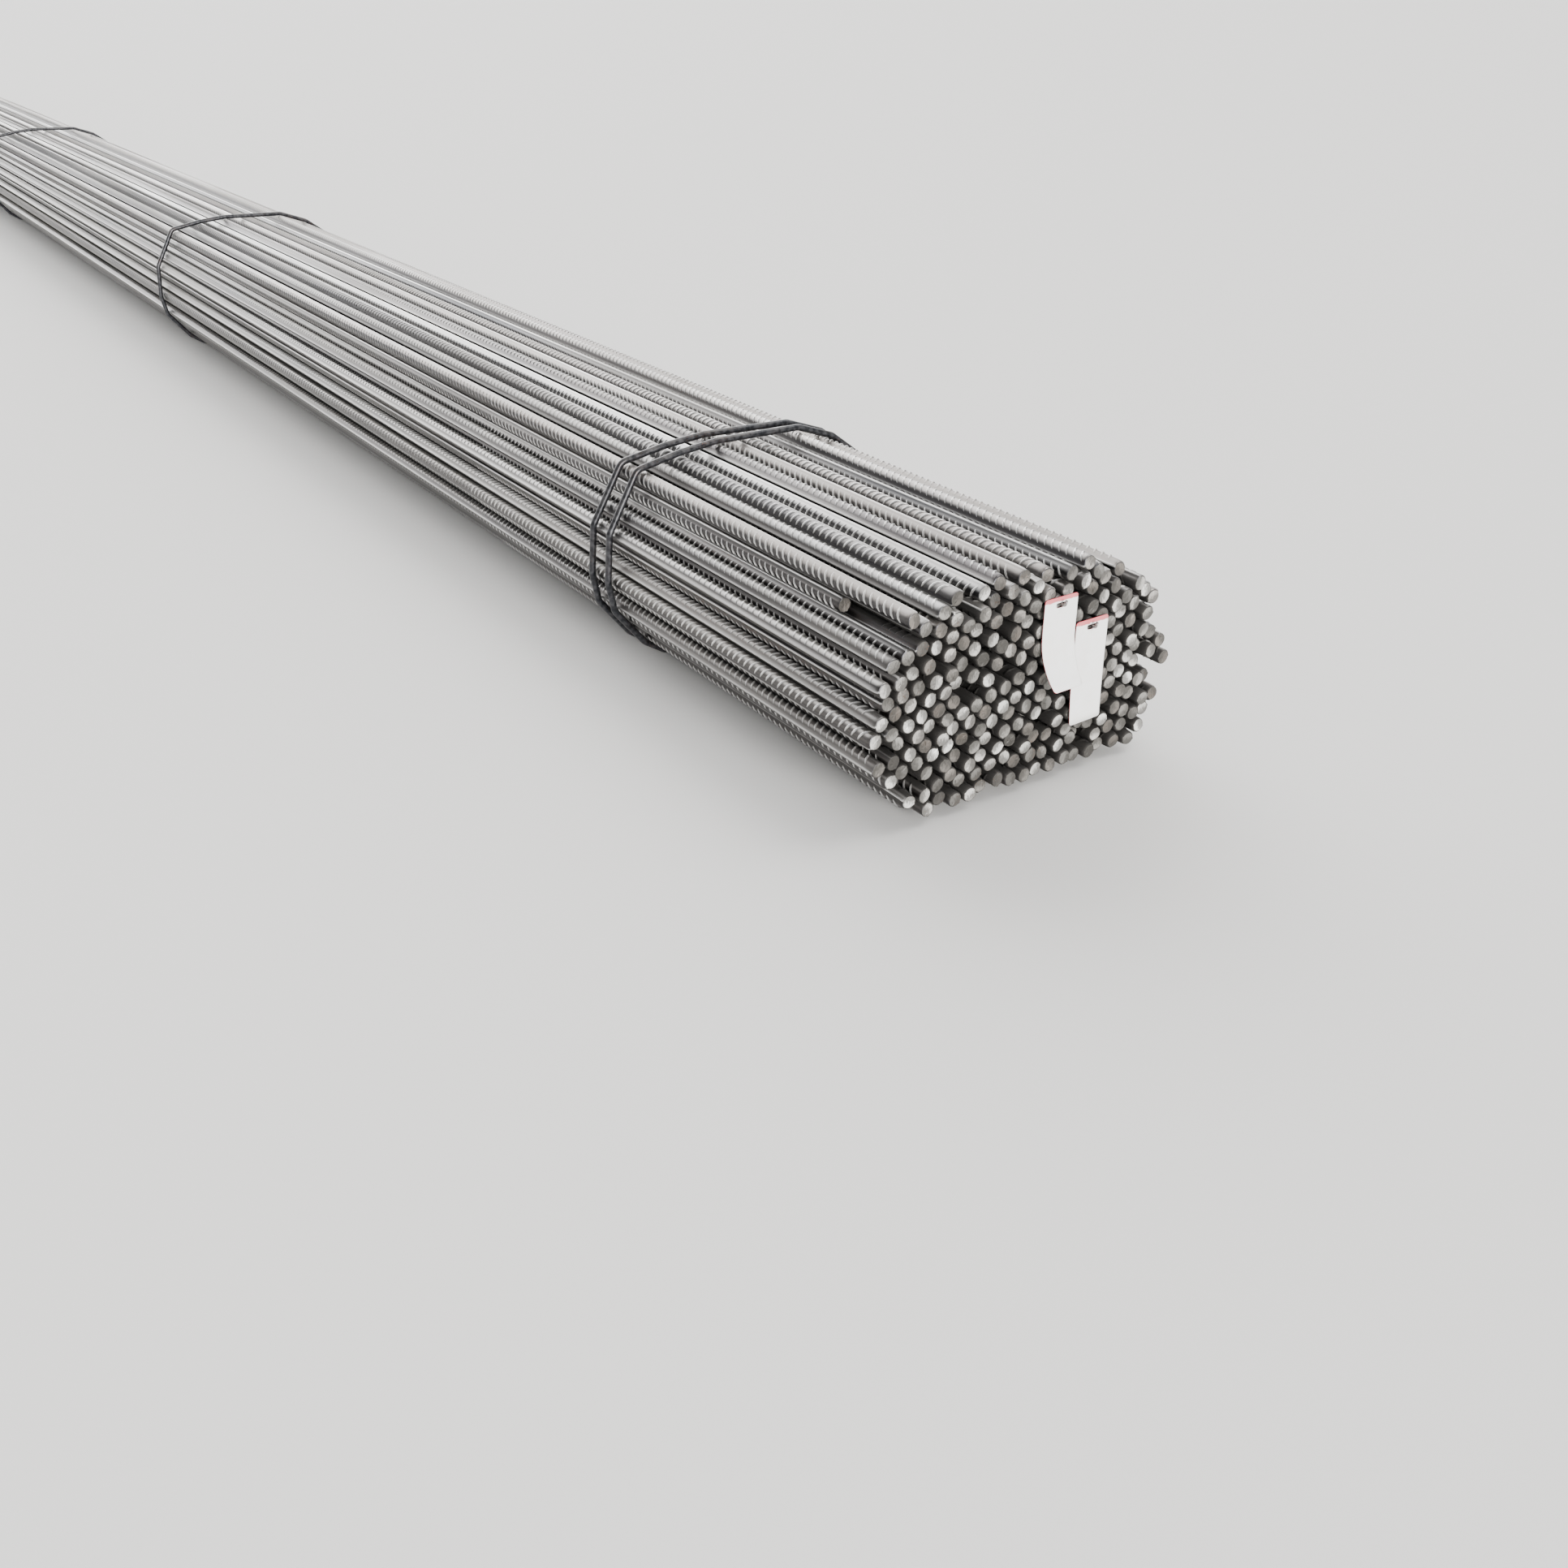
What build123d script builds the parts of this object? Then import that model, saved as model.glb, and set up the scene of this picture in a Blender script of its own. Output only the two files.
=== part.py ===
from build123d import *
import math
import os
import random

# A tied bundle of ribbed reinforcing bars, lying on level ground on its tie wires.
# X runs along the bars with the tagged end at +X, Y runs across and Z is up from the ground.
# The origin is on the ground, in the middle of the bundle's box.

# Bars: each is drawn at its nominal section, with the ribs left off
bar_diameter = 12.0
bar_length = 6000.0
bar_count = 245
bar_sides = 10
rib_gap = 0.35              # the ribs hold the corners of two bars this far apart

# Ends: the rear is butted against a stop, the front is uneven as the shear left it
usual_setback = 6.5
deep_setback = 34.0
deep_share = 0.07           # share of the bars that lie well back from the others
short_bar_setback = 74.0
short_bar_place = (-105.0, 52.5)    # across and up from the middle of the end

# Section: an oval that the ties pull together, flat where it was laid down
oval_aspect = 1.48          # width over height of the whole oval
oval_power = 2.6            # 2 is an ellipse, and more is squarer at the shoulders
oval_cut = 0.9              # height of its middle over the ground, in half heights
oval_lean = 0.2             # how far its top lies towards -Y, for each unit of height
oval_slices = 200
gentle_middle = 0.004       # the pull fades out in the middle of the oval
packing_share = 0.88        # how close the bars come to the densest packing
settle_rounds = 30
first_pull = 0.22           # in bar spacings for each round
ground_pull = 0.5           # share of the pull that also acts downwards
spread_rounds = 5           # bars that overlap are moved apart this often after each pull
last_spread_rounds = 4000   # at most, after the last one
settled_overlap = 1e-5      # in bar spacings
outer_layer = 0.7           # bars at most this far inside the outline, in bar spacings
layout_seed = 51

# Tie wires: annealed rod, pulled tight round the bars and twisted at the +Y side
wire_diameter = 5.5
wire_sides = 6
wire_clearance = 0.3
end_tie_inset = 360.0       # from each end of the bars to its pair of wires
tie_count = 5
pair_spread = 27.0          # between the two wires of a pair at the -Y side
pair_pinch = 13.0           # and at the twists, where they come together
widest_turn = 45.0          # a wire turns round one bar in steps of at most this many degrees

# Twist: the two ends of a wire laid round each other along the flank
twist_turns = 2.0
twist_steps = 8             # for each turn
twist_pitch = 23.0
strand_gap = 0.4
twist_mouth = 13.0          # from the axis of the twist to where a strand leaves the girth
twist_lead = 11.0           # along the bars, from the plane of the wire to the first turn
twist_lead_steps = 3

# Tags: thin slotted plates, each hung on a bent pin that is welded to the end of a bar
tag_width = 30.0
tag_thickness = 0.5
slot_width = 9.0
slot_height = 3.6
slot_drop = 6.0             # from the top edge of the tag to the middle of its slot
pin_diameter = 2.2
pin_sides = 8
pin_rise = 4.0              # of its upturned tip
pin_lean = 1.6
pin_reach = 3.5             # past the tag, to where the pin turns up
tag_clearance = 0.3
flat_tag_place = (56.0, 22.0)       # of the pin, across and up from the middle of the end
flat_tag_length = 78.0
flat_tag_straight = 30.0    # from its top edge to where it starts to curl forwards
flat_tag_curl = 6.0
curled_tag_place = (23.0, 45.0)
curled_tag_length = 67.0
curled_tag_straight = 27.0
curled_tag_curl = 52.0


def corner_radius(diameter, sides):
    # a prism with this radius to its corners has the section area of the round bar
    return diameter / 2 * math.sqrt(2 * math.pi / (sides * math.sin(2 * math.pi / sides)))


bar_corner = corner_radius(bar_diameter, bar_sides)
bar_spacing = 2 * bar_corner + rib_gap
wire_corner = corner_radius(wire_diameter, wire_sides)
girth_offset = bar_corner + wire_clearance + wire_corner
bundle_lift = 2 * wire_corner + wire_clearance      # the lowest bars lie on the tie wires


def part_pairs(centres):
    # moves every pair that is closer than one spacing apart, and returns the worst overlap
    cells = {}
    for index, (y, z) in enumerate(centres):
        cells.setdefault((math.floor(y), math.floor(z)), []).append(index)
    worst = 0.0
    for (column, row), members in cells.items():
        nearby = []
        for side in (-1, 0, 1):
            for level in (-1, 0, 1):
                nearby += cells.get((column + side, row + level), [])
        for first in members:
            for second in nearby:
                if second <= first:
                    continue
                across = centres[second][0] - centres[first][0]
                up = centres[second][1] - centres[first][1]
                apart = math.hypot(across, up)
                if apart >= 1:
                    continue
                push = (1 - apart) / 2 / max(apart, 0.01)
                centres[first][0] -= across * push
                centres[first][1] -= up * push
                centres[second][0] += across * push
                centres[second][1] += up * push
                worst = max(worst, 1 - apart)
    return worst


def settle_section():
    # centres of the bars in bar spacings, as the ties draw them together on the ground
    draw = random.Random(layout_seed)
    levels = [-oval_cut + (1 + oval_cut) * (count + 0.5) / oval_slices for count in range(oval_slices)]
    widths = [2 * (1 - abs(level) ** oval_power) ** (1 / oval_power) for level in levels]
    shape_area = oval_aspect * (1 + oval_cut) * sum(widths) / oval_slices
    cell_area = math.sqrt(3) / 2 / packing_share
    half_height = math.sqrt(bar_count * cell_area / shape_area)
    half_width = oval_aspect * half_height
    ground = -oval_cut * half_height
    centres = []
    while len(centres) < bar_count:
        y = draw.uniform(-1, 1) * half_width
        z = draw.uniform(-1, 1) * half_height
        if abs(y / half_width) ** oval_power + abs(z / half_height) ** oval_power < 1 and z > ground:
            centres.append([y - oval_lean * z, z])
    for count in range(settle_rounds):
        pull = first_pull * (1 - count / settle_rounds)
        for centre in centres:
            leaned = centre[0] + oval_lean * centre[1]
            across = math.copysign(abs(leaned / half_width) ** (oval_power - 1), leaned) / half_width
            up = math.copysign(abs(centre[1] / half_height) ** (oval_power - 1), centre[1]) / half_height
            up += oval_lean * across
            steepness = max(math.hypot(across, up), gentle_middle)
            centre[0] -= pull * across / steepness
            centre[1] -= pull * (up / steepness + ground_pull)
        for repeat in range(spread_rounds):
            part_pairs(centres)
            for centre in centres:
                centre[1] = max(centre[1], ground)
    for repeat in range(last_spread_rounds):
        worst = part_pairs(centres)
        for centre in centres:
            centre[1] = max(centre[1], ground)
        if worst < settled_overlap:
            break
    return centres


def hull_of(points):
    # corners of the tightest loop round the points, anticlockwise
    ordered = sorted(points)
    halves = []
    for run in (ordered, ordered[::-1]):
        chain = []
        for point in run:
            while len(chain) > 1:
                ahead = (chain[-1][0] - chain[-2][0]) * (point[1] - chain[-2][1])
                aside = (chain[-1][1] - chain[-2][1]) * (point[0] - chain[-2][0])
                if ahead - aside > 1e-9:
                    break
                chain.pop()
            chain.append(point)
        halves += chain[:-1]
    return halves


def place_bars():
    settled = settle_section()
    low = min(z for y, z in settled)
    middle = (min(y for y, z in settled) + max(y for y, z in settled)) / 2
    rest = bar_corner * math.cos(math.pi / bar_sides) + bundle_lift
    return [((y - middle) * bar_spacing, (z - low) * bar_spacing + rest) for y, z in settled]


def nearest_bar(centres, place):
    # index of the bar closest to a place given from the middle of the end
    mid_height = (min(z for y, z in centres) + max(z for y, z in centres)) / 2
    apart = [math.hypot(y - place[0], z - mid_height - place[1]) for y, z in centres]
    return apart.index(min(apart))


def set_back_ends(centres, short_bar):
    # how far each bar's front end lies behind the longest one's
    draw = random.Random(layout_seed + 1)
    setbacks = []
    for index in range(len(centres)):
        share = draw.random()
        deep = draw.random() < deep_share
        setbacks.append(share * (deep_setback if deep else usual_setback))
    setbacks[short_bar] = short_bar_setback
    return setbacks


def one_bar(centre, setback):
    section = RegularPolygon(bar_corner, bar_sides, rotation=180 / bar_sides - 90)
    start = Plane(origin=(-bar_length / 2, *centre), x_dir=(0, 1, 0), z_dir=(1, 0, 0))
    return extrude(start * section, amount=bar_length - setback).solid()


def lies_outside(centre, hull):
    # whether a bar is in the outermost layer
    for first, second in zip(hull, hull[1:] + hull[:1]):
        along = (second[0] - first[0], second[1] - first[1])
        inward = along[0] * (centre[1] - first[1]) - along[1] * (centre[0] - first[0])
        if inward / math.hypot(*along) < outer_layer * bar_spacing:
            return True
    return False


never_along = (0.3, 0.2, 1)     # no run of a wire has this direction


def bent_wire(points, diameter, sides):
    # a rod along straight runs, with a mitre at each corner
    points = [Vector(*point) for point in points]
    runs = [(second - first).normalized() for first, second in zip(points, points[1:])]
    side = runs[0].cross(Vector(never_along)).normalized()
    other = runs[0].cross(side)
    radius = corner_radius(diameter, sides)
    ring = []
    for count in range(sides):
        angle = 2 * math.pi * count / sides
        ring.append(points[0] + side * (radius * math.cos(angle)) + other * (radius * math.sin(angle)))
    rings = [ring]
    for place, run, following in zip(points[1:], runs, runs[1:] + runs[-1:]):
        mitre = run + following
        ring = [corner + run * ((place - corner).dot(mitre) / run.dot(mitre)) for corner in ring]
        rings.append(ring)
    faces = [Face(Wire.make_polygon(rings[0])), Face(Wire.make_polygon(rings[-1]))]
    for first, second in zip(rings, rings[1:]):
        for index in range(sides):
            corners = [first[index - 1], first[index], second[index], second[index - 1]]
            faces.append(Face(Wire.make_polygon(corners)))
    return Solid(Shell(faces))


def girth_route(centres):
    # corners of the line that a tight wire takes round the bars, as (y, z), from the +Y flank up and over
    hull = hull_of(centres)
    normals = []
    for first, second in zip(hull, hull[1:] + hull[:1]):
        normals.append(math.atan2(first[0] - second[0], second[1] - first[1]))
    route = []
    for index, centre in enumerate(hull):
        before = normals[index - 1]
        turn = (normals[index] - before) % (2 * math.pi)
        steps = max(1, math.ceil(math.degrees(turn) / widest_turn))
        for count in range(steps):
            middle = before + turn * (count + 0.5) / steps
            reach = girth_offset / math.cos(turn / steps / 2)
            route.append((centre[0] + reach * math.cos(middle), centre[1] + reach * math.sin(middle)))
    return route


def tie_wire(centres, x_knot, x_far, heading):
    # one wire: a twisted end, once round the bundle, and back to the same twist
    route = girth_route(centres)
    flank = [index for index in range(len(route)) if route[index][0] > 0 and route[index - 1][0] > 0]
    run = max(flank, key=lambda index: math.dist(route[index], route[index - 1]))
    low, high = route[run - 1], route[run]
    tangent = ((high[0] - low[0]) / math.dist(low, high), (high[1] - low[1]) / math.dist(low, high))
    outward = (tangent[1], -tangent[0])
    root = ((low[0] + high[0]) / 2, (low[1] + high[1]) / 2)
    far_side = min(y for y, z in route)

    def on_flank(x, along, lift):
        return (
            x_knot + heading * x,
            root[0] + tangent[0] * along + outward[0] * lift,
            root[1] + tangent[1] * along + outward[1] * lift,
        )

    def strand(side):
        # from the girth round into the twist
        points = []
        for count in range(twist_lead_steps):
            bend = math.pi / 2 * count / twist_lead_steps
            along = side * (twist_mouth + (helix_radius - twist_mouth) * math.sin(bend))
            points.append(on_flank(twist_lead * (1 - math.cos(bend)), along, lift * math.sin(bend)))
        for count in range(int(twist_turns * twist_steps) + 1):
            angle = 2 * math.pi * count / twist_steps
            x = twist_lead + twist_pitch * count / twist_steps
            along = side * helix_radius * math.cos(angle)
            points.append(on_flank(x, along, lift + side * helix_radius * math.sin(angle)))
        return points

    helix_radius = (wire_corner + strand_gap / 2) / math.cos(math.pi / twist_steps)
    lift = helix_radius
    girth = []
    for y, z in route[run:] + route[:run]:
        share = (root[0] - y) / (root[0] - far_side)
        girth.append((x_knot + (x_far - x_knot) * share, y, z))
    points = strand(1)[::-1] + girth + strand(-1)
    return bent_wire(points, wire_diameter, wire_sides)


def tag_and_pin(centres, ends, place, length, straight, curl):
    # a plate that hangs in front of the bars on a pin bent up through its slot
    bar = nearest_bar(centres, place)
    y, z = centres[bar]
    near = [index for index in range(len(centres)) if abs(centres[index][0] - y) < tag_width]
    below = [index for index in near if z - length - bar_spacing < centres[index][1] < z + bar_spacing]
    back = max(ends[index] for index in below) + tag_clearance
    front = back + tag_thickness
    hang = z + pin_diameter / 2 + tag_clearance - slot_height / 2
    top = hang + slot_drop
    radius = (length - straight) / math.radians(curl)
    middle_line = Line((back + tag_thickness / 2, top), (back + tag_thickness / 2, top - straight))
    bend = CenterArc(
        (back + tag_thickness / 2 + radius, top - straight), radius, 180, curl
    )
    side_view = Plane.XZ * trace([middle_line, bend], line_width=tag_thickness)
    plate = extrude(side_view, amount=tag_width / 2, both=True)
    plate = Pos(0, y, 0) * plate
    plate -= Pos(back + tag_thickness / 2, y, hang) * Box(2 * tag_thickness, slot_width, slot_height)
    bend_at = front + pin_reach
    pin = bent_wire(
        [(ends[bar], y, z), (bend_at, y, z), (bend_at + pin_lean, y, z + pin_rise)],
        pin_diameter,
        pin_sides,
    )
    return plate.solid(), pin


def save(name, solids):
    export_step(Compound(children=solids) if len(solids) > 1 else solids[0], f"parts/{name}.step")


os.makedirs("parts", exist_ok=True)

bars = place_bars()
short_bar = nearest_bar(bars, short_bar_place)
setbacks = set_back_ends(bars, short_bar)
ends = [bar_length / 2 - setback for setback in setbacks]
hull = hull_of(bars)
outer = [index for index in range(bar_count) if lies_outside(bars[index], hull) and index != short_bar]
inner = [index for index in range(bar_count) if index not in outer and index != short_bar]

save("outer_bars", [one_bar(bars[index], setbacks[index]) for index in outer])
save("inner_bars", [one_bar(bars[index], setbacks[index]) for index in inner])
save("short_bar", [one_bar(bars[short_bar], setbacks[short_bar])])

tie_pitch = (bar_length - 2 * end_tie_inset) / (tie_count - 1)
for number in range(tie_count):
    x = bar_length / 2 - end_tie_inset - number * tie_pitch
    if number in (0, tie_count - 1):
        for letter, side in (("a", 1), ("b", -1)):
            knot = x + side * pair_pinch / 2
            wire = tie_wire(bars, knot, x + side * pair_spread / 2, side)
            save(f"tie_{number + 1}{letter}", [wire])
    else:
        save(f"tie_{number + 1}", [tie_wire(bars, x, x, 1)])

flat_tag, flat_pin = tag_and_pin(
    bars, ends, flat_tag_place, flat_tag_length, flat_tag_straight, flat_tag_curl
)
curled_tag, curled_pin = tag_and_pin(
    bars, ends, curled_tag_place, curled_tag_length, curled_tag_straight, curled_tag_curl
)
save("flat_tag", [flat_tag])
save("flat_tag_pin", [flat_pin])
save("curled_tag", [curled_tag])
save("curled_tag_pin", [curled_pin])
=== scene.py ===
import math
import random

import bpy
import numpy as np
from mathutils import Matrix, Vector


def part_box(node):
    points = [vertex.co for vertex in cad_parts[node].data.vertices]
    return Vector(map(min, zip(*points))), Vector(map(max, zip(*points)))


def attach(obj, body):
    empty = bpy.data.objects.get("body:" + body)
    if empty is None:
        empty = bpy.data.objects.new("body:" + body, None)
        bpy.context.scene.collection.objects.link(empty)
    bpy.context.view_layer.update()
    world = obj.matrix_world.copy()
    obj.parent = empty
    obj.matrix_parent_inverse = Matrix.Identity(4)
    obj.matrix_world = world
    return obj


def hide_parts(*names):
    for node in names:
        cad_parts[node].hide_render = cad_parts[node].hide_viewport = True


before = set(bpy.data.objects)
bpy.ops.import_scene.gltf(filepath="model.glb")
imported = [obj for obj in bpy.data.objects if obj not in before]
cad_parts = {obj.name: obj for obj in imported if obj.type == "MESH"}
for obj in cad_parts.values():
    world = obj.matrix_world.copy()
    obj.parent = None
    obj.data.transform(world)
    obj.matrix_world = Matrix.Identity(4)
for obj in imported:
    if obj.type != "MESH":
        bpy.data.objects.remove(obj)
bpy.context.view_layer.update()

# A tied bundle of ribbed reinforcing bars on a pale floor. All lengths are in metres.
# The frame gives the place and length of every bar, and this script gives them their real shape.

mm = 0.001


def buildPiece(name, points, faces, materials, stands,
               values=None, faceMaterials=None, flatMaterials=()):
    # a mesh that rides on the part and stands in for the nodes named
    mesh = bpy.data.meshes.new(name)
    mesh.from_pydata(np.asarray(points).tolist(), [], faces)
    for material in materials:
        mesh.materials.append(material)
    picked = np.zeros(len(mesh.polygons), dtype=np.int32)
    if faceMaterials is not None:
        picked[:] = faceMaterials
    mesh.polygons.foreach_set("material_index", picked)
    mesh.polygons.foreach_set("use_smooth", ~np.isin(picked, flatMaterials))
    for label, numbers in (values or {}).items():
        layer = mesh.attributes.new(label, "FLOAT", "POINT")
        layer.data.foreach_set("value", np.asarray(numbers, dtype=np.float32))
    mesh.update()
    piece = bpy.data.objects.new(name, mesh)
    bpy.context.scene.collection.objects.link(piece)
    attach(piece, "root")
    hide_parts(*stands)
    triangles = sum(len(face) - 2 for face in faces)
    print("piece", name, "triangles", triangles)
    triangleCount.append(triangles)


triangleCount = []


def gridFaces(rows, columns, closed, start=0):
    # quads of a grid of points whose rows follow each other
    faces = []
    for row in range(rows - 1):
        for column in range(columns if closed else columns - 1):
            following = (column + 1) % columns
            first = start + row * columns
            second = first + columns
            faces.append((first + column, first + following, second + following, second + column))
    return faces


def roundRod(path, radii, sides):
    # a rod along a path of points, with a flat end at both tips
    path = np.asarray(path)
    runs = np.diff(path, axis=0)
    runs /= np.linalg.norm(runs, axis=1)[:, None]
    heading = np.vstack([runs[:1], runs[:-1] + runs[1:], runs[-1:]])
    heading /= np.linalg.norm(heading, axis=1)[:, None]
    aside = np.cross(heading[0], (0.31, 0.22, 1.0))  # any direction off the rod's own
    points = []
    for place, ahead, radius in zip(path, heading, radii):
        aside = aside - ahead * aside.dot(ahead)
        aside /= np.linalg.norm(aside)
        upward = np.cross(ahead, aside)
        for count in range(sides):
            turn = 2 * math.pi * count / sides
            points.append(place + radius * (aside * math.cos(turn) + upward * math.sin(turn)))
    faces = gridFaces(len(path), sides, True)
    last = (len(path) - 1) * sides
    faces.append(tuple(range(sides - 1, -1, -1)))
    faces.append(tuple(range(last, last + sides)))
    return points, faces


def readBars():
    # middle of the section and both ends of each bar, from the flat ends of its solid in the frame
    found = []
    for nodeName in ("outer_bars", "inner_bars", "short_bar"):
        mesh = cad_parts[nodeName].data
        owner = {}
        for polygon in mesh.polygons:
            if abs(polygon.normal.x) < 0.99:
                continue
            places = [mesh.vertices[index].co for index in polygon.vertices]
            corners = {tuple(round(value, 5) for value in place) for place in places}
            for corner in list(corners):
                corners |= owner.get(corner, set())
            for corner in corners:
                owner[corner] = corners
        ends = {id(corners): np.mean(sorted(corners), axis=0) for corners in owner.values()}
        ends = sorted(tuple(float(value) for value in end) for end in ends.values())
        rear = [end for end in ends if end[0] < 0]
        front = [end for end in ends if end[0] > 0]
        for x, y, z in rear:
            tip = min(front, key=lambda end: math.hypot(end[1] - y, end[2] - z))
            found.append({"node": nodeName, "y": y, "z": z, "rear": x, "front": tip[0]})
    return found


def outlineOf(points):
    # corners of the tightest loop round the points, anticlockwise
    ordered = sorted(points)
    halves = []
    for run in (ordered, ordered[::-1]):
        chain = []
        for point in run:
            while len(chain) > 1:
                ahead = (chain[-1][0] - chain[-2][0]) * (point[1] - chain[-2][1])
                sideways = (chain[-1][1] - chain[-2][1]) * (point[0] - chain[-2][0])
                if ahead - sideways > 1e-12:
                    break
                chain.pop()
            chain.append(point)
        halves += chain[:-1]
    return halves


def openDirections(centres):
    # for each bar, the directions in which no other bar and not the ground covers it
    angles = np.radians(np.arange(0, 360, 10))
    openSides = []
    for centre in centres:
        others = centres - centre
        others = others[np.hypot(others[:, 0], others[:, 1]) > 1e-6]
        free = []
        for angle in angles:
            along = others[:, 0] * math.cos(angle) + others[:, 1] * math.sin(angle)
            across = np.abs(others[:, 1] * math.cos(angle) - others[:, 0] * math.sin(angle))
            covered = ((along > 0) & (across < barShape["coreRadius"])).any()
            grounded = math.sin(angle) < barShape["groundShare"]
            if not covered and not grounded:
                free.append(angle)
        openSides.append(np.array(free))
    return openSides


barShape = {
    "coreRadius": 5.65 * mm,
    "frontPlane": 3.0,  # where the longest bars end
    "longRibHeight": 0.8 * mm,
    "longRibFoot": 9.5,  # degrees to each side of its middle
    "longRibTop": 5.5,
    "longRibWearAndHighlight": 0.7,  # how bright its top is rubbed, partly a painted highlight
    "coreSteps": 7,  # faces of the core between one long rib and the other
    "ribPitch": 7.2 * mm,
    "ribHeight": 0.95 * mm,
    "ribFoot": 2.5 * mm,
    "ribCrest": 0.8 * mm,
    "ribSunk": 0.25 * mm,
    "ribSwell": 2.4,  # the higher, the blunter a rib ends
    "ribTipFoot": 0.45,  # share of its foot's width at its tips
    "ribSpread": 68.0,  # degrees that a rib reaches to each side of its middle
    "ribSlant": 3.6 * mm,  # along the bar, from its middle to its tip
    "wave": 0.45 * mm,  # how far a bar bows between its ties
    "waveLengths": (2.7, 1.3, 2.3, 1.1),  # two across, two up
    "shortWave": 0.6,  # height of the shorter of each two, against the longer
    "squash": (0.02, 0.10),  # least and most that the shear presses an end flat
    "endTilt": 0.09,  # slope of the steepest end
    "groundShare": -0.5,  # directions that point down more than this end in the floor
    "shownSegments": 12,
    "coveredSegments": 3,
    "nearPieces": 2,  # pieces that the near ribs are split into; no piece may have over 200,000 triangles
    "farPieces": 3,
    "fineReach": 0.62,  # from the front end, with fully shaped ribs
    "innerReach": 0.045,  # covered ribs end this far in, and half as far at the rear
    "clearEnd": 6.0 * mm,  # the painted gap shade thins out this close to an end
    "unshadedTo": 8.0,  # degrees past the open side of a bar at which the painted gap shade begins
    "shadedFrom": 58.0,
    "outwardReach": 66.0,  # degrees from the open side within which the middle of a rib is in view
    "seed": 7,
}

bars = readBars()
barCentres = np.array([(bar["y"], bar["z"]) for bar in bars])
openSides = openDirections(barCentres)
rng = np.random.default_rng(barShape["seed"])
for bar, free in zip(bars, openSides):
    bar["free"] = free
    bar["turn"] = rng.uniform(0, 2 * math.pi)
    bar["tone"] = rng.uniform(0, 1)
    bar["tint"] = rng.uniform(0, 1)
    bar["phase"] = rng.uniform(0, 2 * math.pi, 4)
    bar["wave"] = barShape["wave"] * rng.uniform(0.3, 1) * (len(free) > 0)
    bar["shear"] = rng.uniform(0, 2 * math.pi, 2)
    bar["squash"] = rng.uniform(*barShape["squash"], 2)
    bar["tilt"] = rng.uniform(-1, 1, 2) * barShape["endTilt"]
    bar["ribStart"] = rng.uniform(0, barShape["ribPitch"], 2)
print("bars read:", len(bars), "of them in view:", sum(len(free) > 0 for free in openSides))


def openShare(free, angles):
    # 1 where the surface of a bar faces out of the bundle, falling to 0 in the gaps between bars
    angles = np.asarray(angles, dtype=float)
    if len(free) == 0:
        return np.zeros(angles.shape)
    gaps = np.abs((free[:, None] - angles.ravel()[None, :] + math.pi) % (2 * math.pi) - math.pi)
    nearest = np.degrees(gaps.min(axis=0)).reshape(angles.shape)
    return np.clip((barShape["shadedFrom"] - nearest) / (barShape["shadedFrom"] - barShape["unshadedTo"]), 0, 1)


def barMiddle(bar, x):
    # the slight bow of a bar between its ties
    waves = [np.sin(2 * math.pi * x / length + phase)
             for length, phase in zip(barShape["waveLengths"], bar["phase"])]
    share = barShape["shortWave"]
    across = waves[0] + share * waves[1]
    upward = waves[2] + share * waves[3]
    return bar["y"] + bar["wave"] * across / (1 + share), bar["z"] + bar["wave"] * upward / (1 + share)


def addNode(tree, kind, **settings):
    # a new shader node, with its own settings given by name
    node = tree.nodes.new(kind)
    for label, value in settings.items():
        setattr(node, label, value)
    return node


def noiseOf(tree, place, scale, detail=4.0, roughness=0.55):
    node = addNode(tree, "ShaderNodeTexNoise")
    feed(tree, node, {"Scale": scale, "Detail": detail, "Roughness": roughness, "Vector": place})
    return node.outputs["Fac"]


def stretched(tree, place, scale):
    node = addNode(tree, "ShaderNodeMapping")
    node.inputs["Scale"].default_value = scale
    tree.links.new(place, node.inputs["Vector"])
    return node.outputs["Vector"]


def spanOf(tree, value, low, high, toLow=0.0, toHigh=1.0):
    node = addNode(tree, "ShaderNodeMapRange", interpolation_type="SMOOTHSTEP")
    feed(tree, node, {"From Min": low, "From Max": high, "To Min": toLow, "To Max": toHigh, "Value": value})
    return node.outputs["Result"]


def plug(tree, socket, value):
    # sets the socket to a number or colour, or links it to another node's output
    if isinstance(value, (int, float)):
        socket.default_value = value
    elif isinstance(value, tuple):
        socket.default_value = (*value, 1.0)
    else:
        tree.links.new(value, socket)


def combine(tree, operation, first, second):
    node = addNode(tree, "ShaderNodeMath", operation=operation)
    for socket, value in zip(node.inputs, (first, second)):
        plug(tree, socket, value)
    return node.outputs[0]


def blendColour(tree, share, first, second):
    node = addNode(tree, "ShaderNodeMix", data_type="RGBA")
    for index, value in ((0, share), (6, first), (7, second)):
        plug(tree, node.inputs[index], value)
    return node.outputs[2]


def feed(tree, node, values):
    for label, value in values.items():
        plug(tree, node.inputs[label], value)


def readValue(tree, label):
    return addNode(tree, "ShaderNodeAttribute", attribute_name=label).outputs["Fac"]


def newGroup(name, inputs, outputs):
    tree = bpy.data.node_groups.new(name, "ShaderNodeTree")
    for label, value in inputs.items():
        socket = tree.interface.new_socket(label, in_out="INPUT", socket_type="NodeSocketFloat")
        socket.default_value = value
    for label, kind in outputs.items():
        tree.interface.new_socket(label, in_out="OUTPUT", socket_type=kind)
    return tree, tree.nodes.new("NodeGroupInput"), tree.nodes.new("NodeGroupOutput")


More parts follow.
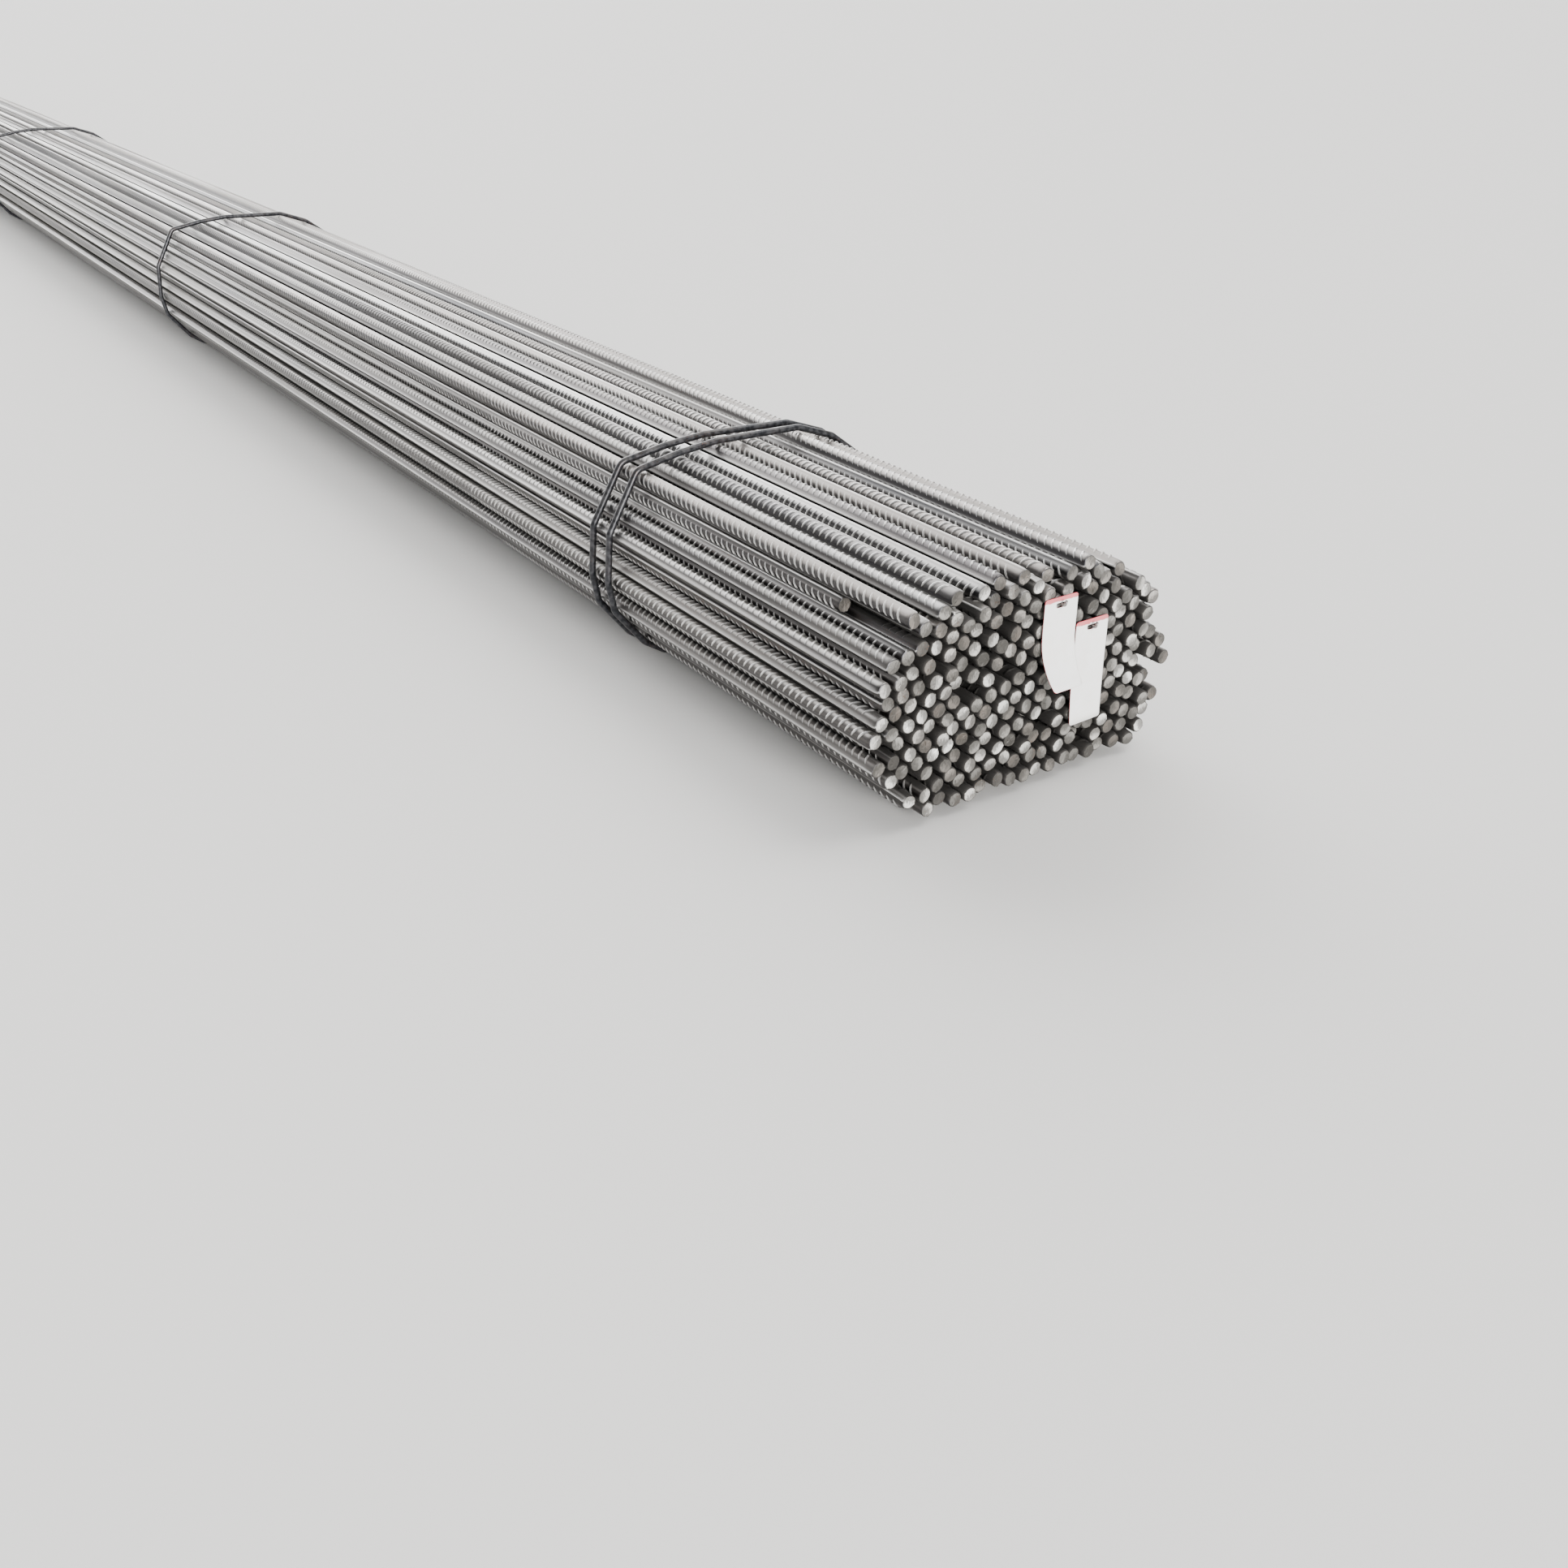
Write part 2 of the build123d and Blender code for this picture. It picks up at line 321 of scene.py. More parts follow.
grimeAndShadeLook = {
    "stretch": (0.035, 1.0, 1.0),  # draws the patches out along the bars
    "patchScale": 55.0,
    "bloomScale": 24.0,
    "freckleScale": 900.0,
    "pitScale": 1400.0,
    "dustRise": (-0.1, 0.95),  # how far up a surface faces where dust begins, and where it is full
    "upperRise": (0.16, 0.86),  # the same for the upper side, which the painted shade on what faces down leaves clear
}


def yardGrimeAndShadeGroup():
    # what lying in the open leaves: pale dust on top, rust freckles and pits; and the upper side, against
    # which the undersides get painted shade
    look = grimeAndShadeLook
    tree, inputs, outputs = newGroup(
        "yardGrimeAndShade",
        {"Dust": 0.5, "Rust": 0.3, "Mottle Scale": 60.0},
        {"Dust Mask": "NodeSocketFloat", "Rust Mask": "NodeSocketFloat", "Mottle": "NodeSocketFloat",
         "Pits": "NodeSocketFloat", "Upper Side": "NodeSocketFloat"},
    )
    place = addNode(tree, "ShaderNodeTexCoord").outputs["Object"]
    along = stretched(tree, place, look["stretch"])
    facing = addNode(tree, "ShaderNodeNewGeometry").outputs["Normal"]
    split = addNode(tree, "ShaderNodeSeparateXYZ")
    tree.links.new(facing, split.inputs[0])
    up = spanOf(tree, split.outputs["Z"], *look["dustRise"])
    patches = spanOf(tree, noiseOf(tree, along, look["patchScale"]), 0.32, 0.68)
    dust = combine(tree, "MULTIPLY", combine(tree, "MULTIPLY", up, patches), inputs.outputs["Dust"])
    blooms = spanOf(tree, noiseOf(tree, along, look["bloomScale"], 6.0, 0.7), 0.5, 0.72)
    freckles = spanOf(tree, noiseOf(tree, place, look["freckleScale"], 3.0), 0.52, 0.66)
    rust = combine(tree, "MULTIPLY", combine(tree, "MULTIPLY", blooms, freckles), inputs.outputs["Rust"])
    mottle = noiseOf(tree, along, inputs.outputs["Mottle Scale"], 5.0, 0.5)
    pits = noiseOf(tree, place, look["pitScale"], 4.0, 0.65)
    patchy = spanOf(tree, mottle, 0.3, 0.7)
    upper = spanOf(tree, split.outputs["Z"], *look["upperRise"])
    feed(tree, outputs, {"Dust Mask": dust, "Rust Mask": rust, "Mottle": patchy, "Pits": pits,
                         "Upper Side": upper})
    return tree


grimeAndShadeGroup = yardGrimeAndShadeGroup()


def startMaterial(name, look):
    # a new material with as much grime as its look says
    material = bpy.data.materials.new(name)
    material.use_nodes = True
    tree = material.node_tree
    grimeAndShade = addNode(tree, "ShaderNodeGroup", node_tree=grimeAndShadeGroup)
    for label, key in (("Dust", "dustShare"), ("Rust", "rustShare"), ("Mottle Scale", "mottleScale")):
        grimeAndShade.inputs[label].default_value = look.get(key, 0.0)
    return material, tree, tree.nodes["Principled BSDF"], grimeAndShade.outputs


def bumpInto(tree, shader, height, look):
    bump = addNode(tree, "ShaderNodeBump")
    strength, depth = look["bump"]
    feed(tree, bump, {"Strength": strength, "Distance": depth, "Height": height})
    plug(tree, shader.inputs["Normal"], bump.outputs["Normal"])


skinLook = {
    "dark": (0.045, 0.048, 0.058),
    "grey": (0.46, 0.456, 0.447),
    "greySpan": (0.1, 0.95),  # share of grey on the darkest and the palest bar
    "warm": (0.235, 0.195, 0.17),
    "warmShare": 0.5,
    "wornAndHighlight": (0.86, 0.85, 0.83),
    # painted shade on what faces down
    "paintedUnderShade": (0.035, 0.034, 0.037),
    "paintedUnderShadeShare": 0.95,
    "lowPaintedShade": (0.062, 0.052, 0.045),
    "lowFrom": 0.175,  # height over the floor below which the bars get darker with painted shade
    "lowTo": 0.118,  # and below which that painted shade is darkest
    "lowShare": 0.34,
    "lowNarrow": 3.6,  # the higher, the narrower the unshaded upper side of the lowest bars
    "lowGap": 0.27,  # how much further the painted shade in their gaps reaches
    "dust": (0.52, 0.49, 0.45),
    "rust": (0.17, 0.075, 0.04),
    "gapPaintedShade": (0.022, 0.020, 0.018),
    "dustShare": 0.35,
    "rustShare": 0.55,
    "rimShare": 0.85,
    "mottleScale": 80.0,
    "mottleShare": 0.3,
    "metal": 0.9,
    "rough": (0.85, 0.3),  # where it is dusty or under the painted gap shade, and where it is clear
    "bump": (0.35, 0.2 * mm),  # strength and depth
}


def millScaleSkin():
    # rolled skin: blue-grey scale, crests rubbed bright and partly a painted highlight, pale dust on what
    # faces up, painted shade on what faces down, in the gaps and on the lower bars
    look = skinLook
    material, tree, shader, grimeAndShade = startMaterial("millScaleSkin", look)
    share = combine(tree, "MULTIPLY_ADD", grimeAndShade["Mottle"], look["mottleShare"])
    share.node.inputs[2].default_value = -look["mottleShare"] / 2
    share = combine(tree, "ADD", share, spanOf(tree, readValue(tree, "barTone"), 0.0, 1.0, *look["greySpan"]))
    colour = blendColour(tree, share, look["dark"], look["grey"])
    warmth = spanOf(tree, readValue(tree, "barTint"), 0.45, 1.0, 0.0, look["warmShare"])
    colour = blendColour(tree, warmth, colour, look["warm"])
    height = addNode(tree, "ShaderNodeSeparateXYZ")
    tree.links.new(addNode(tree, "ShaderNodeTexCoord").outputs["Object"], height.inputs[0])
    # painted shade: the lower a bar lies, the darker it is painted
    low = spanOf(tree, height.outputs["Z"], look["lowTo"], look["lowFrom"], 1.0, 0.0)
    # painted shade on what faces down, reaching higher up each bar on the lower bars
    upper = combine(tree, "POWER", grimeAndShade["Upper Side"], spanOf(tree, low, 0.0, 1.0, 1.0, look["lowNarrow"]))
    shaded = spanOf(tree, upper, 0.0, 1.0, look["paintedUnderShadeShare"], 0.0)
    colour = blendColour(tree, shaded, colour, look["paintedUnderShade"])
    # painted shade on the lower bars
    colour = blendColour(tree, combine(tree, "MULTIPLY", low, look["lowShare"]), colour, look["lowPaintedShade"])
    # crests rubbed bright, partly a painted highlight
    rubbedAndHighlight = spanOf(tree, grimeAndShade["Mottle"], 0.0, 1.0, 0.6, 1.0)
    wornAndHighlight = combine(tree, "MULTIPLY", readValue(tree, "crest"), rubbedAndHighlight)
    colour = blendColour(tree, wornAndHighlight, colour, look["wornAndHighlight"])
    colour = blendColour(tree, grimeAndShade["Rust Mask"], colour, look["rust"])
    colour = blendColour(tree, grimeAndShade["Dust Mask"], colour, look["dust"])
    # dark rim at each end: rolled-over scale, and partly painted shade round the end
    rim = combine(tree, "MULTIPLY", readValue(tree, "rim"), look["rimShare"])
    colour = blendColour(tree, rim, colour, look["dark"])
    # painted shade in the gaps between bars, reaching further on the lower bars, where the bar is also made
    # duller
    covered = combine(tree, "MULTIPLY", low, look["lowGap"])
    unshaded = spanOf(tree, combine(tree, "SUBTRACT", readValue(tree, "open"), covered), 0.0, 0.75)
    colour = blendColour(tree, unshaded, look["gapPaintedShade"], colour)
    metal = combine(tree, "SUBTRACT", spanOf(tree, unshaded, 0.0, 1.0, 0.0, look["metal"]), grimeAndShade["Dust Mask"])
    rough = spanOf(tree, metal, 0.0, look["metal"], *look["rough"])
    feed(tree, shader, {"Base Color": colour, "Metallic": metal, "Roughness": rough})
    bumpInto(tree, shader, grimeAndShade["Pits"], look)
    return material


cutLook = {
    "dull": (0.055, 0.052, 0.047),
    "plain": (0.35, 0.34, 0.315),
    "plainAt": 0.6,  # tone of a bar, from 0 to 1, at which its end is plain
    "bright": (0.95, 0.94, 0.90),
    "brightAt": 0.93,
    "warm": (0.20, 0.16, 0.13),
    "warmShare": 0.45,
    "rim": (0.075, 0.07, 0.064),
    "rimShare": 0.8,
    "rust": (0.11, 0.058, 0.034),
    "rustShare": 1.0,
    "tornStretch": (1.0, 1.0, 0.25),
    "tornScale": 900.0,
    "tornShare": 0.75,  # dullness of the torn side
    "grainShare": 0.4,
    "metal": 0.45,
    "rough": (0.35, 0.6),
    "bump": (0.5, 0.4 * mm),
}


def shearedFace():
    # cut ends: each bar its own tone, a burnished side, a torn side, a dark edge that is partly painted
    # shade, and rust freckles
    look = cutLook
    material, tree, shader, grimeAndShade = startMaterial("shearedFace", look)
    tone = addNode(tree, "ShaderNodeValToRGB")
    ramp = tone.color_ramp.elements
    ramp[0].color = (*look["dull"], 1)
    ramp[1].position = look["brightAt"]
    ramp[1].color = (*look["bright"], 1)
    middle = ramp.new(look["plainAt"])
    middle.color = (*look["plain"], 1)
    tree.links.new(readValue(tree, "barTone"), tone.inputs["Fac"])
    place = addNode(tree, "ShaderNodeTexCoord").outputs["Object"]
    torn = noiseOf(tree, stretched(tree, place, look["tornStretch"]), look["tornScale"], 5.0, 0.7)
    warmth = spanOf(tree, readValue(tree, "barTint"), 0.45, 1.0, 0.0, look["warmShare"])
    colour = blendColour(tree, warmth, tone.outputs["Color"], look["warm"])
    edge = combine(tree, "ADD", readValue(tree, "entry"), spanOf(tree, torn, 0.3, 0.7, -0.5, 0.5))
    colour = blendColour(tree, spanOf(tree, edge, -0.35, 0.35, look["tornShare"], 0.0), colour, look["dull"])
    colour = blendColour(tree, spanOf(tree, torn, 0.3, 0.75, 0.0, look["grainShare"]), colour, look["dull"])
    # dark rim round the face: rolled-over scale, and partly painted shade round the end
    rim = combine(tree, "MULTIPLY", readValue(tree, "rim"), look["rimShare"])
    colour = blendColour(tree, rim, colour, look["rim"])
    colour = blendColour(tree, grimeAndShade["Rust Mask"], colour, look["rust"])
    rough = spanOf(tree, torn, 0.3, 0.7, *look["rough"])
    feed(tree, shader, {"Base Color": colour, "Metallic": look["metal"], "Roughness": rough})
    bumpInto(tree, shader, torn, look)
    return material


tieLook = {
    "dark": (0.014, 0.015, 0.018),
    "grey": (0.062, 0.062, 0.067),
    "dust": (0.22, 0.20, 0.18),
    "rust": (0.17, 0.07, 0.035),
    "dustShare": 0.22,
    "rustShare": 0.6,
    "mottleScale": 260.0,
    "metal": 0.7,
    "rough": (0.28, 0.42),
    "bump": (0.25, 0.15 * mm),
}


def annealedRod():
    # tie rod: black annealing scale with a soft sheen
    look = tieLook
    material, tree, shader, grimeAndShade = startMaterial("annealedRod", look)
    colour = blendColour(tree, grimeAndShade["Mottle"], look["dark"], look["grey"])
    colour = blendColour(tree, grimeAndShade["Rust Mask"], colour, look["rust"])
    colour = blendColour(tree, grimeAndShade["Dust Mask"], colour, look["dust"])
    rough = spanOf(tree, grimeAndShade["Mottle"], 0.0, 1.0, *look["rough"])
    feed(tree, shader, {"Base Color": colour, "Metallic": look["metal"], "Roughness": rough})
    bumpInto(tree, shader, grimeAndShade["Pits"], look)
    return material


pinLook = {
    "steel": (0.33, 0.31, 0.29),
    "heat": (0.12, 0.10, 0.11),
    "rustShare": 0.7,
    "mottleScale": 500.0,
    "metal": 0.8,
    "rough": 0.38,
    "bump": (0.3, 0.15 * mm),
}


def weldedPin():
    # bright pin, blued by the heat of its weld
    look = pinLook
    material, tree, shader, grimeAndShade = startMaterial("weldedPin", look)
    colour = blendColour(tree, grimeAndShade["Mottle"], look["heat"], look["steel"])
    colour = blendColour(tree, grimeAndShade["Rust Mask"], colour, cutLook["rust"])
    feed(tree, shader, {"Base Color": colour, "Metallic": look["metal"], "Roughness": look["rough"]})
    bumpInto(tree, shader, grimeAndShade["Pits"], look)
    return material


tagLook = {
    "white": (0.93, 0.93, 0.92),
    "yellowed": (0.84, 0.82, 0.77),
    "yellowShare": 0.35,
    "band": (0.60, 0.03, 0.05),
    "bandShare": 0.85,
    "bandDepth": 3.2 * mm,
    "bandWaver": 0.6 * mm,
    "waverScale": 260.0,
    "bandBlur": 0.5 * mm,
    "rustShare": 0.12,
    "mottleScale": 90.0,
    "rough": (0.34, 0.5),
    "bump": (0.15, 0.4 * mm),
}


def tagFace():
    # coated plate: white, a red band along its top edge, a little grime
    look = tagLook
    material, tree, shader, grimeAndShade = startMaterial("tagFace", look)
    place = addNode(tree, "ShaderNodeTexCoord").outputs["Object"]
    noise = noiseOf(tree, place, look["waverScale"])
    waver = spanOf(tree, noise, 0.2, 0.8, -look["bandWaver"], look["bandWaver"])
    depth = combine(tree, "ADD", readValue(tree, "downTag"), waver)
    upperEdge, lowerEdge = look["bandDepth"] - look["bandBlur"], look["bandDepth"] + look["bandBlur"]
    band = spanOf(tree, depth, upperEdge, lowerEdge, look["bandShare"], 0.0)
    yellowed = spanOf(tree, grimeAndShade["Mottle"], 0.0, 1.0, 0.0, look["yellowShare"])
    colour = blendColour(tree, yellowed, look["white"], look["yellowed"])
    colour = blendColour(tree, band, colour, look["band"])
    colour = blendColour(tree, grimeAndShade["Rust Mask"], colour, cutLook["rust"])
    rough = spanOf(tree, grimeAndShade["Mottle"], 0.0, 1.0, *look["rough"])
    feed(tree, shader, {"Base Color": colour, "Roughness": rough})
    bumpInto(tree, shader, grimeAndShade["Mottle"], look)
    return material


rimLook = {"red": (0.45, 0.05, 0.07), "mottleScale": 300.0, "rough": 0.5}


def tagRim():
    # the edges of a tag and of its slot
    look = rimLook
    material, tree, shader, grimeAndShade = startMaterial("tagRim", look)
    colour = blendColour(tree, grimeAndShade["Mottle"], look["red"], tagLook["band"])
    feed(tree, shader, {"Base Color": colour, "Roughness": look["rough"]})
    return material


skinMaterial = millScaleSkin()
cutMaterial = shearedFace()
rodMaterial = annealedRod()
pinMaterial = weldedPin()
tagMaterial = tagFace()
rimMaterial = tagRim()
print("materials ready")


def barOutline():
    # angles and heights over the core, with the two ribs that run along the bar
    foot, top = barShape["longRibFoot"], barShape["longRibTop"]
    angles = []
    heights = []
    for half in (0, 180):
        for angle, height in ((-foot, 0), (-top, 1), (top, 1), (foot, 0)):
            angles.append(half + angle)
            heights.append(height * barShape["longRibHeight"])
        for count in range(1, barShape["coreSteps"]):
            angles.append(half + foot + (180 - 2 * foot) * count / barShape["coreSteps"])
            heights.append(0)
    return np.radians(angles), np.array(heights)


outlineAngles, outlineHeights = barOutline()

endSteps = {
    # from the end inwards, with the share of the squash and how far the edge is rolled over
    "inset": (0.0, 0.4 * mm, 1.4 * mm, 3.5 * mm, 9.0 * mm),
    "squash": (1.0, 1.0, 0.8, 0.3, 0.0),
    "roll": (0.75 * mm, 0.25 * mm, 0.03 * mm, 0.0, 0.0),
    "faceRings": (0.86, 0.5),  # shares of the radius
    "grain": 0.2 * mm,  # roughness of the cut
    "flattened": 0.45,  # share of the long ribs' height that the shear presses flat
    "bulge": 0.45,  # share of the squash that comes out at the sides
    "leastRoll": 0.35,  # share of the rolled edge on the side where it is smallest
    "clearOpen": 0.25,  # how little painted shade the gaps get right at an end
    "stopShare": 1.1,  # so that no slanting rear end reaches past the plane of the stop
}


def barRing(bar, x, end, squash, roll):
    shear = bar["shear"][end]
    radius = barShape["coreRadius"] + outlineHeights * (1 - endSteps["flattened"] * squash)
    angle = outlineAngles + bar["turn"]
    entry = 0.5 + 0.5 * np.cos(angle - shear)
    radius = radius - roll * (endSteps["leastRoll"] + entry)
    across = radius * np.cos(angle - shear) * (1 - bar["squash"][end] * squash)
    along = radius * np.sin(angle - shear) * (1 + endSteps["bulge"] * bar["squash"][end] * squash)
    midY, midZ = barMiddle(bar, x)
    y = midY + across * math.cos(shear) - along * math.sin(shear)
    z = midZ + across * math.sin(shear) + along * math.cos(shear)
    lean = bar["tilt"][end] * across * squash
    return np.stack([np.full_like(y, x) + lean, y, z], axis=1)


def ringsOpen(bar, inset):
    # openness of a ring of the skin this far from the end, where the end itself lies clear
    clear = max(0.0, 1 - inset / barShape["clearEnd"]) ** 2
    return np.maximum(openShare(bar["free"], outlineAngles + bar["turn"]), clear * endSteps["clearOpen"])


def oneBar(bar, start, segments):
    sides = len(outlineAngles)
    rearEnd = bar["rear"] + abs(bar["tilt"][0]) * barShape["coreRadius"] * endSteps["stopShare"]
    steps = list(zip(endSteps["inset"], endSteps["squash"], endSteps["roll"]))
    deepest = endSteps["inset"][-1]
    first, last = rearEnd + deepest, bar["front"] - deepest
    spots = [(inset, rearEnd + inset, 0, squash, roll) for inset, squash, roll in steps]
    for count in range(1, segments):
        spots.append((deepest, first + (last - first) * count / segments, 1, 0.0, 0.0))
    spots += [(inset, bar["front"] - inset, 1, squash, roll) for inset, squash, roll in reversed(steps)]
    rings = [barRing(bar, *spot[1:]) for spot in spots]
    opens = [ringsOpen(bar, spot[0]) for spot in spots]
    skin = gridFaces(len(rings), sides, True, start)
    rims = np.zeros(len(rings) * sides)
    rims[:sides] = rims[-sides:] = 1
    points = list(np.vstack(rings))
    cut = []
    for end, ring in ((0, rings[0]), (1, rings[-1])):
        middle = ring.mean(axis=0)
        before = start + (len(rings) - 1) * sides if end else start
        for share in endSteps["faceRings"]:
            grain = rng.uniform(-1, 1, sides) * endSteps["grain"]
            inner = middle + (ring - middle) * share
            inner[:, 0] += grain if end else endSteps["grain"] - grain
            here = start + len(points)
            points.extend(inner)
            shifts = (before, here - sides)
            band = [tuple(corner + shifts[corner >= sides] for corner in face)
                    for face in gridFaces(2, sides, True)]
            cut += band if end else [face[::-1] for face in band]
            before = here
        here = start + len(points)
        points.append(middle)
        for side in range(sides):
            following = (side + 1) % sides
            face = (before + side, before + following, here)
            cut.append(face if end else face[::-1])
    extra = len(points) - len(rims)
    entries = np.cos(outlineAngles + bar["turn"] - bar["shear"][1])
    rubbedAndHighlight = barShape["longRibWearAndHighlight"] * outlineHeights / barShape["longRibHeight"]
    faceEntries = [entries * share for share in endSteps["faceRings"]] + [np.zeros(1)]
    values = {
        "rim": np.concatenate([rims, np.zeros(extra)]),
        "open": np.concatenate([*opens, np.ones(extra)]),
        "entry": np.concatenate([np.tile(entries, len(rings)), *faceEntries, *faceEntries]),
        "crest": np.concatenate([np.tile(rubbedAndHighlight, len(rings)), np.zeros(extra)]),
    }
    return points, skin, cut, values


barValues = {"barTone": "tone", "barTint": "tint"}


def buildBars(pieceName, nodeName, segments):
    points, faces, picked, given, made = [], [], [], [], []
    for bar in bars:
        if bar["node"] != nodeName:
            continue
        barPoints, skin, cut, values = oneBar(bar, len(points), segments)
        points += barPoints
        faces += skin + cut
        picked += [0] * len(skin) + [1] * len(cut)
        given.append(values)
        made.append((bar, len(barPoints)))
    values = {label: np.concatenate([each[label] for each in given]) for label in given[0]}
    for label, key in barValues.items():
        values[label] = np.concatenate([np.full(size, bar[key]) for bar, size in made])
    buildPiece(pieceName, points, faces, [skinMaterial, cutMaterial], [nodeName],
               values, picked, (1,))


buildBars("outerBars", "outer_bars", barShape["shownSegments"])
buildBars("innerBars", "inner_bars", barShape["coveredSegments"])
buildBars("shortBar", "short_bar", barShape["shownSegments"])
print("bars built")


def facesOutward(bar, angle):
    # whether the middle of a rib on this side of its bar is in view
    gap = np.abs((bar["free"] - angle + math.pi) % (2 * math.pi) - math.pi)
    return len(gap) > 0 and gap.min() < math.radians(barShape["outwardReach"])


def ribPlaces(low, high, outward=True):
    # bar number, direction, place and slant of the ribs between two places, in view or covered
    pitch = barShape["ribPitch"]
    margin = barShape["ribSlant"] + barShape["ribFoot"]
    chosen = []
    for number, bar in enumerate(bars):
        for side in (0, 1):
            angle = bar["turn"] + math.pi * (side + 0.5)
            if facesOutward(bar, angle) != outward:
                continue
            first = max(low, bar["rear"] + margin)
            last = min(high, bar["front"] - margin)
            start = bar["rear"] + bar["ribStart"][side]
            steps = np.arange(math.ceil((first - start) / pitch), (last - start) / pitch)
            for x in start + steps * pitch:
                chosen.append((number, angle, x, 1 - 2 * side))
    return chosen


def fullRib():
    # a flat-topped ridge with pointed tips
    foot, crest = barShape["ribFoot"] / 2, barShape["ribCrest"] / 2
    profile = ((-foot, 0), (-crest, 1), (crest, 1), (foot, 0))
    stations = (-0.68, -0.34, 0, 0.34, 0.68)  # in shares of the reach to a tip
    places = [(-1, 0, 0)] + [(reach, *point) for reach in stations for point in profile] + [(1, 0, 0)]
    faces = [face[::-1] for face in gridFaces(len(stations), len(profile), False, 1)]
    tip = len(places) - 1
    for column in range(len(profile) - 1):
        faces.append((0, 1 + column, 2 + column))
        faces.append((tip, tip - column - 1, tip - column - 2))
    return places, faces


def plainRib():
    # a sharp ridge over the widest part of its foot, for ribs seen from further off
    foot = barShape["ribFoot"] / 2
    places = [(-1, 0, 0), (-0.5, 0, 1), (0, 0, 1), (0.5, 0, 1), (1, 0, 0), (0, -foot, 0), (0, foot, 0)]
    faces = []
    for step in range(4):
        faces.append((step, step + 1, 6))
        faces.append((step + 1, step, 5))
    return places, faces


def buildRibs(pieceName, chosen, form, nodeName):
    # crescent ribs: each is a low ridge that runs slantwise round its side of the bar
    places, pattern = form
    reach, step, top = np.array(places, dtype=float).T[:, None, :]
    number = np.array([rib[0] for rib in chosen])
    angle, start, lean = [np.array([rib[place] for rib in chosen])[:, None] for place in (1, 2, 3)]
    swell = 1 - np.abs(reach) ** barShape["ribSwell"]
    tipFoot = barShape["ribTipFoot"]
    x = start + lean * reach * barShape["ribSlant"] + step * (tipFoot + (1 - tipFoot) * swell)
    low = barShape["coreRadius"] - barShape["ribSunk"]
    radius = low + top * swell * (barShape["ribHeight"] + barShape["ribSunk"])
    turn = angle + reach * math.radians(barShape["ribSpread"])
    table = np.array([(bar["y"], bar["z"], bar["wave"], *bar["phase"]) for bar in bars])[number]
    y0, z0, wave, *phases = [column[:, None] for column in table.T]
    midY, midZ = barMiddle({"y": y0, "z": z0, "wave": wave, "phase": phases}, x)
    points = np.stack([x, midY + radius * np.cos(turn), midZ + radius * np.sin(turn)], axis=2)
    size = len(places)
    faces = [tuple(corner + rib * size for corner in face) for rib in range(len(chosen)) for face in pattern]
    opens = np.empty(x.shape)
    for owner in np.unique(number):
        mine = number == owner
        opens[mine] = openShare(bars[owner]["free"], turn[mine])
    crests = np.broadcast_to(top * swell, x.shape)
    values = {"rim": np.zeros(x.size), "crest": crests.ravel(), "open": opens.ravel()}
    for label, key in barValues.items():
        values[label] = np.repeat(np.array([bar[key] for bar in bars])[number], size)
    buildPiece(pieceName, points.reshape(-1, 3), faces, [skinMaterial], [nodeName], values)


frontX = max(bar["front"] for bar in bars)
rearX = min(bar["rear"] for bar in bars)
fineX = frontX - barShape["fineReach"]
runs = (("ribsFront", frontX, barShape["nearPieces"], fullRib()),
        ("ribsFar", rearX, barShape["farPieces"], plainRib()))
for pieceName, outerX, pieces, form in runs:
    cuts = np.linspace(outerX, fineX, pieces + 1)
    for count in range(pieces):
        low, high = sorted(cuts[count:count + 2])
        buildRibs(f"{pieceName}{count + 1}", ribPlaces(low, high), form, "outer_bars")
coveredFront = ribPlaces(frontX - barShape["innerReach"], frontX, False)
coveredRear = ribPlaces(rearX, rearX + barShape["innerReach"] / 2, False)
buildRibs("ribsCovered", coveredFront + coveredRear, plainRib(), "inner_bars")
print("ribs built")


tieShape = {
    "radius": 2.75 * mm,
    "offset": 9.35 * mm,  # from the middle of a bar to the middle of the rod round it
    "sides": 12,
    "bendStep": 9,  # degrees, at most, between two points on a bend
    "stations": 5,  # with a pair of wires at the first and the last
    "frontInset": 0.36,
    "pitch": 1.32,
    "pairSpread": 27.0 * mm,  # between the two wires of a pair, on the -Y flank
    "pairPinch": 13.0 * mm,  # and at their twists
    "twistTurns": 2.0,
    "twistPitch": 23.0 * mm,
    "twistRadius": 2.85 * mm,
    "twistLift": 3.4 * mm,
    "turnSteps": 16,
    "mouth": 13.0 * mm,  # from the axis of the twist to where a strand leaves the girth
    "mouthSteps": 8,
    "lead": 11.0 * mm,
    "pinch": 0.82,  # what the cutter leaves of the radius at a tip
}

hull = outlineOf([(bar["y"], bar["z"]) for bar in bars])


